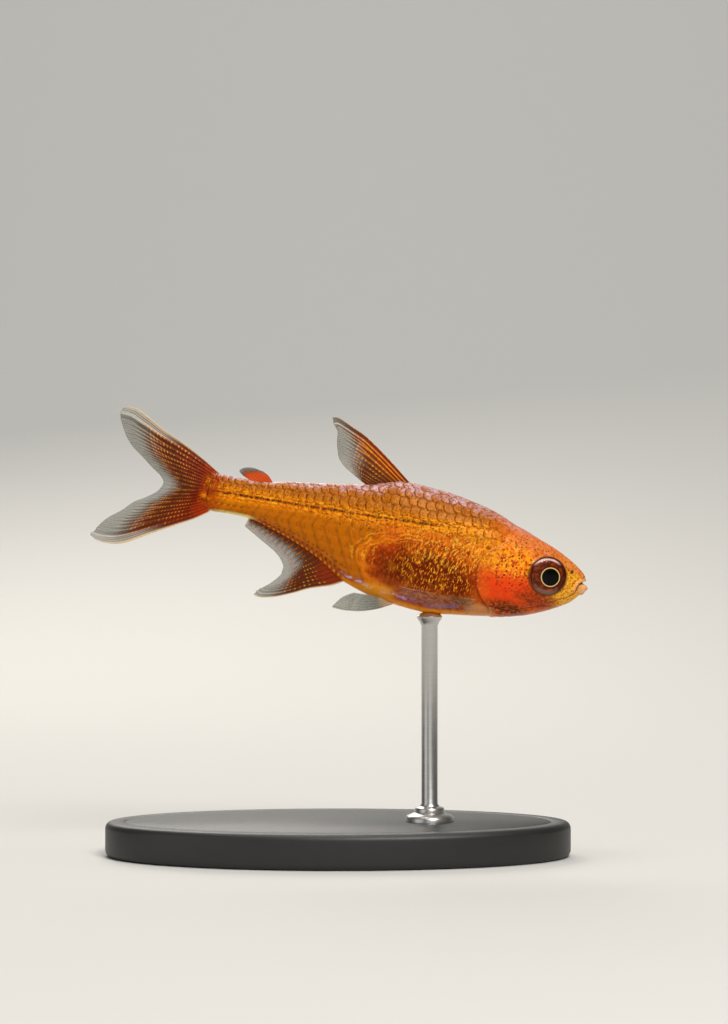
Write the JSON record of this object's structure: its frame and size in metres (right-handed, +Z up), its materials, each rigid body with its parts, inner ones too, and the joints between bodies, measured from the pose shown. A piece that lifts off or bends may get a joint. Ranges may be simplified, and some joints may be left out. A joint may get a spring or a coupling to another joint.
{
  "type": "ember tetra",
  "caption": "Life-size still model of a small orange aquarium fish, nose slightly down with fins spread, held by a rod on a flat oval display stand",
  "frame": {"origin": "the middle of the stand's underside, in the plane it rests on and in the fish's middle plane", "axes": "+X is the way the head points, +Y is the fish's left side, +Z is up; the fish is pitched 13.5 degrees nose-down about Y"},
  "size_m": [0.0257, 0.013, 0.0232],
  "materials": {
    "flesh": "glossy amber-orange fish skin with fine scales, olive above and red at the gills",
    "gill_cover": "glossy bright red-orange gill cover",
    "fin": "thin membrane, orange-red at the root and clear towards the margin, with pale rays",
    "eye": "dark brown iris with a thin gold ring round a black pupil under a clear cornea",
    "stand_base": "satin black display base",
    "stand_metal": "brushed steel rod"
  },
  "bodies": {
    "root": {"head": "flesh", "lower_jaw": "flesh", "gill_cover_right": "gill_cover", "gill_cover_left": "gill_cover", "eye_right": "eye", "eye_left": "eye", "trunk": "flesh", "tail_stalk": "flesh", "dorsal_fin": "fin", "adipose_fin": "fin", "caudal_fin_upper": "fin", "caudal_fin_lower": "fin", "anal_fin": "fin", "pelvic_fin_right": "fin", "pelvic_fin_left": "fin", "pectoral_fin_right": "fin", "pectoral_fin_left": "fin", "stand_base": "stand_base", "stand_rod": "stand_metal"}
  },
  "joints": []
}
